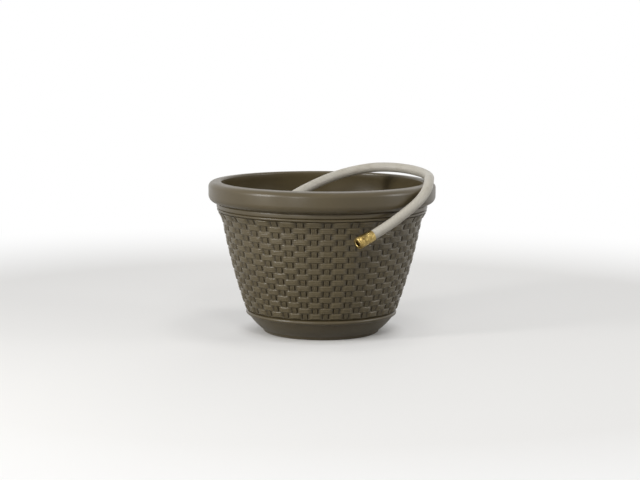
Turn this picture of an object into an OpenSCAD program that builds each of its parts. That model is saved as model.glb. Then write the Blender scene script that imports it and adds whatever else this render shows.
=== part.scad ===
// Garden hose pot: a round moulded resin pot with a rolled rim and a basket-weave wall,
// and the garden hose that is kept in it. Millimetres, +Z up, standing on z = 0.
// The front is -Y. The hose feed hole is low in the back wall, on +Y.

/* [Pot] */
// Height of the pot over the lip
pot_height = 347; // [320:1:380]
// Outer diameter over the rolled rim
rim_d = 520; // [500:1:560]
// Diameter of the opening inside the lip
lip_d = 462; // [450:1:474]
// Outer diameter of the foot
foot_d = 268; // [240:1:280]
// Thickness of every moulded wall
wall = 3.5; // [2.5:0.1:4]
// Height of the recess under the floor
floor_gap = 4; // [2:0.5:6]
// Width of the foot, from its recess to its outer edge
foot_ring_w = 10; // [8:1:14]

/* [Rim] */
// Height of the rolled rim, from its underside to the lip
rim_h = 48; // [44:1:52]
// Radius of the rim's upper outer edge
rim_top_r = 12; // [8:1:14]
// Radius of the roll under the rim
rim_roll_r = 17; // [14:1:18]
// Open slot between the rolled edge and the wall
rim_slot = 3; // [2:0.5:4]
// Depth of the lip that turns into the opening
lip_h = 11; // [9:1:14]
// Diameter of the smooth collar under the rim
collar_d = 483; // [478:1:487]
// Height of the collar
collar_h = 10; // [8:1:12]
// Radius of the thin bead under the collar
top_bead_r = 3.2; // [2:0.1:4]

/* [Wall and base] */
// Diameter over the weave at its foot
weave_foot_d = 345; // [335:1:350]
// Diameter over the weave at its top
weave_top_d = 455; // [450:1:462]
// Radius of the wall's gentle outward curve, seen from the side
wall_curve_r = 1200; // [900:50:2000]
// Height at which the weave starts
weave_z = 54; // [52:1:60]
// Radius of the bead between the weave and the base
base_bead_r = 5; // [4:0.5:6]
// Outward bow of the base
base_bow = 2.5; // [1:0.5:4]
// Radius of the edge of the foot
foot_edge_r = 5; // [3:0.5:7]

/* [Basket weave] */
// Rows of weave
weave_rows = 17; // [12:1:17]
// Straps in one turn of a row
straps = 24; // [16:1:24]
// Part of each repeat that the strap covers
strap_share = 0.755; // [0.7:0.005:0.8]
// Part of each repeat over which either end of a strap slopes down
strap_ramp = 0.2; // [0.12:0.01:0.24]
// Height of a strap's face over the bottom of the joints
strap_relief = 2.6; // [1.5:0.1:3]
// Height of the stakes over the bottom of the joints
stake_relief = 0.9; // [0.5:0.1:1.3]
// Slant of the straps' edges
strap_edge = 1.6; // [1:0.1:2]
// Turn of the whole weave round the pot, in degrees
weave_turn = 5.1; // [0:0.1:7.5]

/* [Openings] */
// Diameter of the hose feed hole
feed_hole_d = 45; // [40:1:48]
// Height of the feed hole's centre
feed_hole_z = 92; // [90:1:110]
// Outer diameter of the boss round the feed hole
feed_boss_d = 62; // [56:1:70]
// Length of the feed hole's bore
feed_boss_l = 10; // [9.5:0.5:11]
// Number of drain holes
drain_holes = 6; // [4:1:8]
// Diameter of a drain hole
drain_d = 10; // [6:1:12]
// Diameter of the circle of drain holes
drain_circle_d = 170; // [120:5:200]

/* [Hose] */
// Outer diameter of the hose
hose_d = 22; // [20:0.5:22]
// Clear space between neighbouring turns
turn_gap = 0.7; // [0.6:0.1:0.8]
// Smallest radius of a turn
turn_min_r = 91; // [88:1:92]
// Largest radius of the two lower layers
lower_turn_r = 125; // [120:1:126]
// Largest radius of the two upper layers
upper_turn_r = 157; // [150:1:158]

/* [Couplings] */
// Outer diameter of the crimped ferrules
ferrule_d = 25.6; // [25:0.1:27]
// Length of hose that a ferrule grips
ferrule_l = 20; // [18:1:21]
// Outside diameter of the outlet's thread
thread_d = 26.6; // [26:0.1:27]
// Length of the outlet's thread
thread_l = 14; // [12:0.5:16]
// Length of the outlet's plain collar
collar_l = 8; // [6:0.5:10]
// Waterway through the couplings
waterway_d = 14; // [12:0.5:15]
// Outside diameter of the swivel nut
nut_d = 34; // [33:0.5:36]
// Length of the swivel nut
nut_l = 22; // [20:0.5:24]
// Inside diameter of the swivel nut's thread
nut_bore_d = 26.9; // [26.6:0.1:27.2]
// Inside diameter of the nut's relief, behind the thread
nut_relief_d = 28; // [27.6:0.1:28.4]
// Grips round the swivel nut
nut_grips = 12; // [8:1:16]
// Running clearance of the swivel nut
nut_play = 0.3; // [0.25:0.05:0.4]
// Thickness of the sealing washer
washer_t = 3; // [2:0.5:3.5]

/* [Hidden] */

resin = "#5b5348";
weave_tone = "#655d50";
vinyl = "#c3bbae";
brass = "#c9a14a";
rubber = "#2b2b2b";

rim_r = rim_d / 2;
lip_r = lip_d / 2;
foot_r = foot_d / 2;
collar_r = collar_d / 2;
lip_edge_r = 5;
shoulder_drop = 1;
under_fillet = 4;
rim_under_z = pot_height - rim_h;
collar_gap = 2;
collar_top_z = rim_under_z - collar_gap;
collar_bottom_z = collar_top_z - collar_h;
collar_edge_r = 2;
neck_r = collar_r - collar_edge_r / 2;
groove_depth = 4;
groove_r = collar_r - groove_depth;
bead_gap = 1;
top_bead_z = collar_bottom_z - top_bead_r - bead_gap;
weave_gap = 1.5;
weave_top_z = top_bead_z - top_bead_r - weave_gap;
flare_h = 26;
flare_out = groove_r - strap_relief - weave_top_d / 2;
base_bead_gap = 3;
base_bead_z = weave_z - base_bead_r - base_bead_gap;
base_step = 2;
floor_z = floor_gap + wall;

function arc(c, r, a0, a1, n = 8) =
    [for (i = [0:n]) let (a = a0 + (a1 - a0) * i / n) c + r * [cos(a), sin(a)]];
function smooth(u) = let (t = max(0, min(1, u))) t * t * (3 - 2 * t);

// Radius over the straps at height z: a shallow arc from foot to top, flared under the bead.
chord_z0 = 47;
chord_z1 = 250;
function bow(z) = let (
    half = (chord_z1 - chord_z0) / 2,
    off = z - chord_z0 - half)
    (half * half - off * off) / (2 * wall_curve_r);
function crest_r(z) = weave_foot_d / 2
    + (weave_top_d - weave_foot_d) / 2 * (z - chord_z0) / (chord_z1 - chord_z0) + bow(z)
    + flare_out * pow(max(0, (z - weave_top_z + flare_h) / flare_h), 2);
function shell_r(z) = crest_r(z) - strap_relief;
wall_steps = 12;
wall_zs = [for (i = [0:wall_steps]) weave_z + (weave_top_z - weave_z) * i / wall_steps];

// The moulded shell, one line round its whole section: up the outside, over the rim, down
// the inside, across the floor and back to the foot.
base_top = [shell_r(base_bead_z) - base_step, base_bead_z - base_bead_r];
base_foot = [foot_r - foot_edge_r * 0.3, foot_edge_r];
function base_line(inset) = [for (i = [0:6]) let (
    u = i / 6,
    p = base_foot + (base_top - base_foot) * u,
    n = [base_top[1] - base_foot[1], base_foot[0] - base_top[0]] / norm(base_top - base_foot))
    p + n * (base_bow * 4 * u * (1 - u) - inset)];
outer_skin = concat(
    arc([foot_r - foot_edge_r, foot_edge_r], foot_edge_r, -90, -25, 4),
    [for (i = [1:6]) base_line(0)[i]],
    arc([shell_r(base_bead_z) - base_step / 2, base_bead_z], base_bead_r, -80, 80, 8),
    [for (z = wall_zs) [shell_r(z), z]],
    arc([neck_r - top_bead_r, top_bead_z], top_bead_r, -70, 75, 6),
    [[groove_r, top_bead_z + top_bead_r + bead_gap / 2]],
    arc([collar_r - collar_edge_r, collar_bottom_z + collar_edge_r], collar_edge_r, -80, 0, 3),
    arc([collar_r - collar_edge_r, collar_top_z - collar_edge_r], collar_edge_r, 0, 80, 3));
roll_c = [rim_r - rim_roll_r, rim_under_z + rim_roll_r];
rim_c = [rim_r - rim_top_r, pot_height - shoulder_drop - rim_top_r];
rim_skin = concat(
    [[neck_r, collar_top_z + collar_gap / 2]],
    arc([neck_r + under_fillet, pot_height - wall - shoulder_drop - under_fillet],
        under_fillet, 180, 90, 3),
    arc(rim_c, rim_top_r - wall, 90, 0, 6),
    arc(roll_c, rim_roll_r - wall, 0, -90, 8),
    [[neck_r + rim_slot, rim_under_z + wall]],
    [[neck_r + rim_slot, rim_under_z]],
    arc(roll_c, rim_roll_r, -90, 0, 8),
    arc(rim_c, rim_top_r, 0, 90, 8),
    arc([lip_r + lip_edge_r, pot_height - lip_edge_r], lip_edge_r, 90, 180, 5));
inside_top_r = neck_r - wall;
// The slanted wall is this much thicker along a level line.
slant = 1.04;
inner_skin = concat(
    [[lip_r, pot_height - lip_h], [inside_top_r, pot_height - lip_h - (inside_top_r - lip_r)]],
    [[inside_top_r, collar_bottom_z]],
    [for (i = [wall_steps:-1:0]) [shell_r(wall_zs[i]) - wall * slant, wall_zs[i]]],
    [for (i = [6:-1:1]) base_line(wall)[i]],
    [[foot_r - foot_edge_r - wall * slant, floor_z]]);
recess_draft = 1;
underside = [[0, floor_z], [0, floor_gap], [foot_r - foot_ring_w - recess_draft, floor_gap],
    [foot_r - foot_ring_w, 0]];

// The feed hole stands square to the wall.
feed_slope = atan2(shell_r(feed_hole_z + 20) - shell_r(feed_hole_z - 20), 40);
feed_c = [0, shell_r(feed_hole_z) - wall / 2, feed_hole_z];
feed_proud = 4;
module feed_axis() translate(feed_c) rotate([-90 - feed_slope, 0, 0]) children();

module pot_body() color(resin) difference() {
    union() {
        rotate_extrude($fn = 120)
            polygon(concat(outer_skin, rim_skin, inner_skin, underside));
        feed_axis() translate([0, 0, feed_proud + wall / 2 - feed_boss_l])
            cylinder(d = feed_boss_d, h = feed_boss_l, $fn = 64);
    }
    feed_axis() translate([0, 0, -feed_boss_l * 2])
        cylinder(d = feed_hole_d, h = feed_boss_l * 4, $fn = 64);
    for (i = [0:drain_holes - 1]) rotate(i * 360 / drain_holes)
        translate([drain_circle_d / 2, 0, -1]) cylinder(d = drain_d, h = floor_z + 2, $fn = 32);
}

// The weave stands on the shell as one skin. Each line round the pot has four points for
// every strap: straps in alternate rows are half a repeat apart, so a row's four points
// are the two ends of its strap, doubled, and a joint's are the ends in both its rows.
row_h = (weave_top_z - weave_z) / weave_rows;
row_edge = min(strap_edge, row_h / 3);
repeat = 360 / straps;
weave_root = 0.8;
joint_relief = 0.1;
weave_backs = 6;
back_zs = [for (i = [0:weave_backs]) weave_z + (weave_top_z - weave_z) * i / weave_backs];
function joint_line(j) = let (
    z = weave_z + row_h * j,
    ends = [0, strap_share - 0.5, 0.5, strap_share])
    [for (s = [0:straps - 1]) for (p = ends) [s + p, shell_r(z) + joint_relief, z]];
function strap_line(j, z) = let (
    start = (j % 2) * 0.5,
    finish = start + strap_share - ((j % 2) ? 1 : 0),
    face = shell_r(z) + strap_relief,
    back = shell_r(z) + stake_relief)
    (j % 2 == 0)
    ? [for (s = [0:straps - 1]) for (p = [[start, back], [start + strap_ramp, face],
        [finish - strap_ramp, face], [finish, back]]) [s + p[0], p[1], z]]
    : [for (s = [0:straps - 1]) for (p = [[finish - strap_ramp, face], [finish, back],
        [start, back], [start + strap_ramp, face]]) [s + p[0], p[1], z]];
function back_line(z) = [for (s = [0:straps - 1]) for (p = [0, 0.25, 0.5, 0.75])
    [s + p, shell_r(z) - weave_root, z]];
weave_lines = concat(
    [joint_line(0)],
    [for (j = [0:weave_rows - 1]) each [
        strap_line(j, weave_z + row_h * j + row_edge),
        strap_line(j, weave_z + row_h * (j + 1) - row_edge),
        joint_line(j + 1)]],
    [for (i = [weave_backs:-1:0]) back_line(back_zs[i])]);
module ring_solid(lines) {
    n = len(lines[0]);
    m = len(lines);
    points = [for (l = lines) for (p = l) [p[1] * cos(p[0] * repeat), p[1] * sin(p[0] * repeat), p[2]]];
    polyhedron(points, [for (i = [0:m - 1]) for (k = [0:n - 1]) let (
        a = i * n + k,
        b = i * n + (k + 1) % n,
        c = ((i + 1) % m) * n + (k + 1) % n,
        d = ((i + 1) % m) * n + k)
        each [[a, d, c], [a, c, b]]]);
}
module basket_weave() color(weave_tone) difference() {
    rotate(weave_turn) ring_solid(weave_lines);
    feed_axis() translate([0, 0, -feed_boss_l])
        cylinder(d = feed_boss_d + 0.4, h = feed_boss_l * 3, $fn = 48);
}

// The hose runs clockwise, seen from above, from the inlet to the outlet.
hose_r = hose_d / 2;
lie_gap = 0.5;
coil_z = floor_z + hose_r + lie_gap;
pitch = hose_d + turn_gap + 0.1;
layer_h = hose_d + turn_gap;
inlet_axis_z = floor_z + nut_d / 2 + lie_gap;
inlet_end = [-62, -10];
lead_c = [26, 12];
lead_r = lead_c[0] - inlet_end[0];
lead_turn = 148;
lead_out = lead_c + lead_r * [cos(180 - lead_turn), sin(180 - lead_turn)];
start_r = norm(lead_out);
start_a = atan2(lead_out[1], lead_out[0]);

// One stage of the pile: from radius a to radius b in layer k, then a half turn up.
climb_bow = pitch / 6.2832;
stages = [[start_r, lower_turn_r, 1], [lower_turn_r, turn_min_r, -1],
    [turn_min_r, upper_turn_r, 1]];
stage_turns = [for (s = stages) abs(s[1] - s[0]) / pitch];
stage_ends = [stage_turns[0] + 0.5, stage_turns[0] + stage_turns[1] + 1,
    stage_turns[0] + stage_turns[1] + stage_turns[2] + 1.5];
// The last layer ends where its final half turn brings the hose to the pot's left side.
last_turns = 2 + (start_a - 180 + 360 * 14 - 360 * (stage_ends[2] + 0.5 + 2)) / 360 % 1;
all_turns = stage_ends[2] + last_turns + 0.5;
function stage_at(t) = t < stage_ends[0] ? 0 : t < stage_ends[1] ? 1 : t < stage_ends[2] ? 2 : 3;
function stage_from(k) = k == 0 ? 0 : stage_ends[k - 1];
function wind(t) = let (
    k = stage_at(t),
    u = t - stage_from(k),
    turns = k == 3 ? last_turns : stage_turns[k],
    out = (k % 2 == 0) ? 1 : -1,
    from = k == 3 ? upper_turn_r : stages[k][0],
    up = max(0, u - turns) * 2,
    r = from + out * pitch * min(u, turns) + out * climb_bow * sin(180 * up),
    a = start_a - 360 * t)
    [r * cos(a), r * sin(a), coil_z + layer_h * (k + smooth(up))];
rings_per_turn = 24;
lead_steps = 10;
lead_points = concat(
    [[inlet_end[0], inlet_end[1], inlet_axis_z], [inlet_end[0], inlet_end[1] + hose_d, inlet_axis_z]],
    [for (i = [1:lead_steps - 1]) let (a = 180 - lead_turn * i / lead_steps)
        [lead_c[0] + lead_r * cos(a), lead_c[1] + lead_r * sin(a),
        inlet_axis_z + (coil_z - inlet_axis_z) * smooth(i / lead_steps * 2)]]);
wind_steps = ceil(all_turns * rings_per_turn);
wind_points = [for (i = [0:wind_steps]) wind(all_turns * i / wind_steps)];
wind_last = wind_points[wind_steps];
coil_out = wind_last + [0, hose_d, 0];
coil_points = concat(lead_points, wind_points, [coil_out]);

// The free stretch: a loose turn on the pile and up the wall, over the right of the rim
// and down in front. Points are in millimetres.
run_points = concat([coil_out], [
    [-89, 48, 110], [-75, 79, 110], [-47, 106, 110], [-6, 121, 110], [38, 117, 110],
    [75, 96, 110], [99, 63, 110], [110, 22, 110], [110, -20, 110], [98, -60, 110],
    [70, -94, 110], [28, -115, 110],
    [-21, -120, 110], [-71, -101, 110], [-107, -63, 110], [-126, -15, 110], [-127, 35, 110],
    [-112, 80, 110], [-82, 118, 110], [-39, 144, 111], [12, 156, 112], [63, 149, 113],
    [109, 124, 115], [146, 86, 119], [168, 38, 127], [174, -14, 138], [161, -66, 152],
    [129, -116, 168], [74, -156, 188], [12, -174, 207], [-44, -162, 226], [-82, -128, 245],
    [-97, -82, 265], [-92, -34, 286], [-73, 8, 306], [-38, 42, 324], [14, 86, 344],
    [52, 107, 355], [90, 118, 363], [128, 118, 368], [166, 107, 369], [202, 84, 367],
    [229, 50, 363], [241, 8, 360], [243, -38, 359], [240, -80, 358], [237, -116, 352],
    [229, -148, 339], [212, -177, 321], [186, -200, 301], [154, -221, 279]]);
outlet_end = [94, -256, 246];
outlet_dir = [-0.78, -0.5, -0.38] / norm([-0.78, -0.5, -0.38]);

run_line = concat(run_points, [outlet_end - outlet_dir * hose_d, outlet_end]);

function unit(v) = v / norm(v);
// Headings along a line, and frames that turn with it as little as they can.
function headings(p, first, last) = let (n = len(p)) [for (i = [0:n - 1])
    i == 0 ? first : i == n - 1 ? last : unit(unit(p[i + 1] - p[i]) + unit(p[i] - p[i - 1]))];
function carried(h, i, side) = let (s = unit(side - h[i] * (side * h[i])))
    i == len(h) - 1 ? [s] : concat([s], carried(h, i + 1, s));
module tube(p, r, sides, first, last) {
    h = headings(p, first, last);
    s = carried(h, 0, [0, 0, 1]);
    n = len(p);
    points = [for (i = [0:n - 1]) for (k = [0:sides - 1]) let (a = 360 * k / sides)
        p[i] + r * (cos(a) * s[i] + sin(a) * cross(h[i], s[i]))];
    start = [for (k = [1:sides - 2]) [0, k, k + 1]];
    finish = [for (k = [1:sides - 2]) [(n - 1) * sides, (n - 1) * sides + k + 1, (n - 1) * sides + k]];
    sleeve = [for (i = [0:n - 2]) for (k = [0:sides - 1]) let (
        a = i * sides + k, b = i * sides + (k + 1) % sides, c = b + sides, d = a + sides)
        each [[a, d, c], [a, c, b]]];
    polyhedron(points, concat(start, sleeve, finish));
}
module hose_coil() color(vinyl) tube(coil_points, hose_r, 6, [0, 1, 0], [0, 1, 0]);
module hose_run() color(vinyl) tube(run_line, hose_r, 10, [0, 1, 0], outlet_dir);

// Couplings are drawn along +Z from the end of the hose and then laid on its heading.
module on_heading(at, way) translate(at)
    rotate([0, 0, atan2(way[1], way[0])]) rotate([0, 90 - asin(unit(way)[2]), 0]) children();
module at_outlet() on_heading(outlet_end, outlet_dir) children();
module at_inlet() on_heading([inlet_end[0], inlet_end[1], inlet_axis_z], [0, -1, 0]) children();
crimps = 4;
ferrule_fit = 0.1;
ferrule_edge = 0.8;
module ferrule() rotate_extrude($fn = 64) let (
    ro = ferrule_d / 2, ri = hose_r + ferrule_fit, step = ferrule_l / (crimps + 1), dip = 0.7)
    polygon(concat(
        [[ri, 0], [ri, -ferrule_l], [ro - ferrule_edge, -ferrule_l], [ro, -ferrule_l + ferrule_edge]],
        [for (i = [crimps:-1:1]) each [[ro, -step * i - 1.6], [ro - dip, -step * i - 0.6],
            [ro - dip, -step * i + 0.6], [ro, -step * i + 1.6]]],
        [[ro, 0]]));
module outlet_ferrule() color(brass) at_outlet() ferrule();
module inlet_ferrule() color(brass) at_inlet() ferrule();
thread_depth = 0.9;
module outlet_coupling() color(brass) at_outlet() rotate_extrude($fn = 64) let (
    ri = waterway_d / 2, rc = ferrule_d / 2 + 0.5, rt = thread_d / 2, root = rt - thread_depth)
    polygon([[ri, 0], [rc, 0], [rc, collar_l - 0.6], [rc - 0.6, collar_l], [root, collar_l],
        [root, collar_l + 1.5], [rt, collar_l + 1.5 + thread_depth], [rt, collar_l + thread_l - 1],
        [rt - 1, collar_l + thread_l], [ri + 1, collar_l + thread_l], [ri, collar_l + thread_l - 1]]);
neck_l = 5;
tail_collar_l = 4;
flange_t = 2.5;
tail_neck_r = hose_r - 0.6;
flange_z = tail_collar_l + neck_l + nut_play;
flange_r = nut_relief_d / 2 - 0.8;
module inlet_tailpiece() color(brass) at_inlet() rotate_extrude($fn = 64)
    polygon([[waterway_d / 2, 0], [ferrule_d / 2, 0], [ferrule_d / 2, tail_collar_l - 0.6],
        [ferrule_d / 2 - 0.6, tail_collar_l], [tail_neck_r, tail_collar_l], [tail_neck_r, flange_z],
        [flange_r, flange_z], [flange_r, flange_z + flange_t], [waterway_d / 2, flange_z + flange_t]]);
nut_back_z = tail_collar_l + nut_play;
nut_wall_t = neck_l - nut_play;
module swivel_nut() color(brass) at_inlet() difference() {
    translate([0, 0, nut_back_z]) union() {
        cylinder(r = nut_d / 2 - 1.5, h = nut_l, $fn = 64);
        for (i = [0:nut_grips - 1]) rotate(i * 360 / nut_grips)
            translate([nut_d / 2 - 2.5, 0, 1.5]) cylinder(r = 2.5, h = nut_l - 5, $fn = 24);
    }
    translate([0, 0, nut_back_z - 1]) cylinder(r = tail_neck_r + nut_play, h = nut_l, $fn = 64);
    translate([0, 0, nut_back_z + nut_wall_t]) cylinder(d = nut_bore_d, h = nut_l, $fn = 64);
    translate([0, 0, nut_back_z + nut_wall_t])
        cylinder(d = nut_relief_d, h = washer_z + washer_t + nut_play - nut_back_z - nut_wall_t, $fn = 64);
}
washer_z = flange_z + flange_t + nut_play;
module sealing_washer() color(rubber) at_inlet() translate([0, 0, washer_z]) difference() {
    cylinder(d = nut_relief_d - 0.4, h = washer_t, $fn = 64);
    translate([0, 0, -1]) cylinder(d = waterway_d + 1, h = washer_t + 2, $fn = 64);
}

// The least gap between turns of the coil, measured on points a half turn and more apart.
coil_rings = len(coil_points);
apart = floor(rings_per_turn / 2);
least_gap = min([for (i = [0:3:coil_rings - 1]) for (k = [i + apart:coil_rings - 1])
    norm(coil_points[i] - coil_points[k])]) - hose_d;
function length(p, i = 1) = i == len(p) ? 0 : norm(p[i] - p[i - 1]) + length(p, i + 1);
echo(least_gap = least_gap, turns = all_turns, coil_length = length(coil_points),
    run_length = length(run_line));

pot_body();
basket_weave();
hose_coil();
hose_run();
outlet_ferrule();
outlet_coupling();
inlet_ferrule();
inlet_tailpiece();
swivel_nut();
sealing_washer();
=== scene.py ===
# %% [markdown]
# # A garden hose pot with its hose
#
# The object is a round resin pot, 520 mm across, with a moulded basket weave round its wall
# and a rolled rim. A 10 m garden hose lies coiled in it, and its brass end hangs over the
# rim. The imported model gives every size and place. This notebook makes the surfaces that
# the eye sees: the weave strand by strand, the satin resin, the vinyl hose and the brass.

# %% Load the fixed frame
import math

import bpy
import numpy as np
from mathutils import Matrix, Vector


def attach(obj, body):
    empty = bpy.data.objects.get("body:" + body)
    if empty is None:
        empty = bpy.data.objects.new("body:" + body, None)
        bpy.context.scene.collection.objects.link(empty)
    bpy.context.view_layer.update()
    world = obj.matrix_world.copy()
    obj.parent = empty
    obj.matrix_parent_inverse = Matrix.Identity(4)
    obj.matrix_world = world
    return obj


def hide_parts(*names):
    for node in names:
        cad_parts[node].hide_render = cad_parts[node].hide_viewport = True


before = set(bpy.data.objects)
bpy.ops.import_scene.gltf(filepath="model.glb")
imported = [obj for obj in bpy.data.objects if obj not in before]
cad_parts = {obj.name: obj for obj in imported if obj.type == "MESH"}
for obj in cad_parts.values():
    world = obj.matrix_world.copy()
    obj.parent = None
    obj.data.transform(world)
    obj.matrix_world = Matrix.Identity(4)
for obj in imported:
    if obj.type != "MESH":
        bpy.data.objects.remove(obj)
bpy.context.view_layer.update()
MM = 0.001

# %% [markdown]
# ## Camera
#
# A picture of a round pot tells where the camera was: each ring shows as an ellipse, and
# how flat it is gives the camera's height. Here the camera stands 4.2 m away and looks down
# by 8 degrees through a long lens. A small lens shift puts the pot where the photograph has
# it, which keeps the verticals as they are, and a real tilt would not. The lens and the
# place of the point looked at are measured in the photograph's pixels.

# %% Camera
CAMERA_DISTANCE = 4.155
CAMERA_ELEVATION = math.radians(8.07)
CAMERA_ROLL = math.radians(0.395)
LOOK_AT = Vector((0, 0, 0.175))
PHOTO_SIZE = (640, 480)
FOCAL_PX = 1803.6
LOOK_AT_PX = (321.6, 255.1)

camera_data = bpy.data.cameras.new("camera")
camera_data.sensor_width = 36
camera_data.lens = FOCAL_PX * camera_data.sensor_width / PHOTO_SIZE[0]
camera_data.shift_x = (PHOTO_SIZE[0] / 2 - LOOK_AT_PX[0]) / PHOTO_SIZE[0]
camera_data.shift_y = (LOOK_AT_PX[1] - PHOTO_SIZE[1] / 2) / PHOTO_SIZE[0]
camera = bpy.data.objects.new("camera", camera_data)
bpy.context.scene.collection.objects.link(camera)
away = Vector((0, -math.cos(CAMERA_ELEVATION), math.sin(CAMERA_ELEVATION)))
aim = (-away).to_track_quat("-Z", "Y").to_matrix().to_4x4()
camera.matrix_world = (Matrix.Translation(LOOK_AT + CAMERA_DISTANCE * away)
                       @ aim @ Matrix.Rotation(CAMERA_ROLL, 4, "Z"))
camera_data.clip_end = 100
bpy.context.scene.camera = camera
print("lens", round(camera_data.lens, 1), "mm")

# %% [markdown]
# ## From arrays to meshes
#
# Every new piece is a stack of rings: a profile turned round an axis, or a circle carried
# along a path. A ring is a row of points in a numpy array of shape (rings, sides, 3). One
# function joins neighbouring rings with quads and either closes the stack on itself, like
# a torus, or closes both ends with a fan round a middle point. All of it is array
# arithmetic, so nothing loops over single vertices. Where two faces meet at more than the
# crease angle, their edge stays crisp, and elsewhere the shading runs on smoothly.

# %% Ring stacks
CREASE, SOFT_CREASE = math.radians(35), math.radians(60)


def ring_quads(rings, sides, closed):
    """Quads between ring i and ring i + 1, from side k to side k + 1, wrapping round."""
    i, k = np.meshgrid(np.arange(rings if closed else rings - 1), np.arange(sides), indexing="ij")
    below, above = i % rings * sides, (i + 1) % rings * sides
    after = (k + 1) % sides
    return np.stack([below + k, below + after, above + after, above + k], -1).reshape(-1, 4)


def signed_volume(points, faces):
    """Sum of the tetrahedra from the origin to each triangle: negative if faces point in."""
    volume = 0.0
    for a, b in [(1, 2), (2, 3)] if faces.shape[1] == 4 else [(1, 2)]:
        p, q, r = points[faces[:, 0]], points[faces[:, a]], points[faces[:, b]]
        volume += np.einsum("ij,ij->", p, np.cross(q, r)) / 6
    return volume


def ring_piece(name, stack, closed=False, crease=CREASE):
    """A mesh object from a stack of rings in millimetres, with its faces pointing out."""
    rings, sides, _ = stack.shape
    points = stack.reshape(-1, 3)
    quads = ring_quads(rings, sides, closed)
    fans = np.zeros((0, 3), int)
    if not closed:
        middles = np.stack([stack[0].mean(0), stack[-1].mean(0)])
        k = np.arange(sides)
        after, first, last = (k + 1) % sides, rings * sides, (rings - 1) * sides
        fans = np.concatenate([np.stack([after, k, np.full(sides, first)], -1),
                               np.stack([last + k, last + after, np.full(sides, first + 1)], -1)])
        points = np.concatenate([points, middles])
    volume = signed_volume(points, quads) + (signed_volume(points, fans) if len(fans) else 0)
    if volume < 0:
        quads, fans = quads[:, ::-1], fans[:, ::-1]
    mesh = bpy.data.meshes.new(name)
    mesh.from_pydata(points * MM, [], quads.tolist() + fans.tolist())
    mesh.shade_smooth()
    mesh.set_sharp_from_angle(angle=crease)
    piece = bpy.data.objects.new(name, mesh)
    bpy.context.scene.collection.objects.link(piece)
    print(name, f"{2 * len(quads) + len(fans):,} triangles, {abs(volume) / 1000:,.1f} cm3")
    return piece


def arc(centre, radius, start, end, steps=8):
    """Points of a circle's arc: centre plus radius times (cos, sin) of evenly spaced angles."""
    a = np.radians(np.linspace(start, end, steps + 1))
    return np.array(centre) + radius * np.stack([np.cos(a), np.sin(a)], -1)


def turned(profile, sides=96, relief=0):
    """A profile of (radius, height) turned round the Z axis: (r cos a, r sin a, z). The
    relief, one number or one for each ring and side, is added to the radius."""
    a = np.linspace(0, 2 * np.pi, sides, endpoint=False)
    r, z = np.asarray(profile, float)[:, 0, None] + relief, np.asarray(profile, float)[:, 1, None]
    return np.stack([r * np.cos(a), r * np.sin(a), z + 0 * a], -1)


def smooth(u):
    """The soft step 3t^2 - 2t^3, with t held between 0 and 1."""
    t = np.clip(u, 0, 1)
    return t * t * (3 - 2 * t)


# %% [markdown]
# ## The hose
#
# A garden hose is a vinyl tube of fixed length, so its route is settled before its shape.
# It starts at the inlet coupling in the middle of the pile, winds outwards and inwards in
# four layers, makes one loose turn on top, climbs the wall, lies over the rim and ends in
# its brass coupling in front.

# %% The coiled part of the route
# Lengths are in millimetres, and angles in degrees.
HOSE_D = 22.0
HOSE_R = HOSE_D / 2
TURN_GAP, SIDE_GAP, LIE_GAP = 0.7, 0.1, 0.5
PITCH = HOSE_D + TURN_GAP + SIDE_GAP
LAYER_H = HOSE_D + TURN_GAP
FLOOR_Z = 7.5
COIL_Z = FLOOR_Z + HOSE_R + LIE_GAP
INLET_END = np.array([-62.0, -10.0, 25.0])
LEAD_CENTRE = np.array([26.0, 12.0])
LEAD_R = LEAD_CENTRE[0] - INLET_END[0]
LEAD_TURN = 148
TURN_MIN_R, LOWER_TURN_R, UPPER_TURN_R = 91.0, 125.0, 157.0
CLIMB_TURNS = 0.5
STEP_MM, POINTS_A_TURN = 6.0, 120

lead_out = arc(LEAD_CENTRE, LEAD_R, 180 - LEAD_TURN, 180, 1)[0]
start_r = np.hypot(*lead_out)
start_a = math.degrees(math.atan2(lead_out[1], lead_out[0]))
stage_radii = np.array([start_r, LOWER_TURN_R, TURN_MIN_R, UPPER_TURN_R])
stage_turns = np.abs(np.diff(stage_radii)) / PITCH
stage_ends = np.cumsum(stage_turns + CLIMB_TURNS)
# The last stage has two turns and the part of one that ends the pile on the left, at 180.
last_turns = 2 + ((start_a - 180) / 360 - stage_ends[2] - CLIMB_TURNS) % 1
all_turns = stage_ends[2] + last_turns + CLIMB_TURNS


def wind(t):
    """The pile after t turns: radius from one stage's start, out or in by one pitch a turn,
    with a soft bow and a soft step up by one layer in each stage's last half turn."""
    k = np.searchsorted(stage_ends, t, side="right")
    u = t - np.concatenate([[0], stage_ends])[k]
    turns = np.append(stage_turns, last_turns)[k]
    out = np.where(k % 2 == 0, 1, -1)
    up = np.maximum(0, u - turns) / CLIMB_TURNS
    r = (stage_radii[k] + out * PITCH * np.minimum(u, turns)
         + out * PITCH / (2 * np.pi) * np.sin(np.pi * up))
    a = np.radians(start_a - 360 * t)
    return np.stack([r * np.cos(a), r * np.sin(a), COIL_Z + LAYER_H * (k + smooth(up))], -1)


def lead(u):
    """The first arc, from the inlet coupling round to the pile, sinking to the floor layer."""
    a = np.radians(180 - LEAD_TURN * u)
    x, y = LEAD_CENTRE[0] + LEAD_R * np.cos(a), LEAD_CENTRE[1] + LEAD_R * np.sin(a)
    return np.stack([x, y, INLET_END[2] + (COIL_Z - INLET_END[2]) * smooth(2 * u)], -1)


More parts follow.
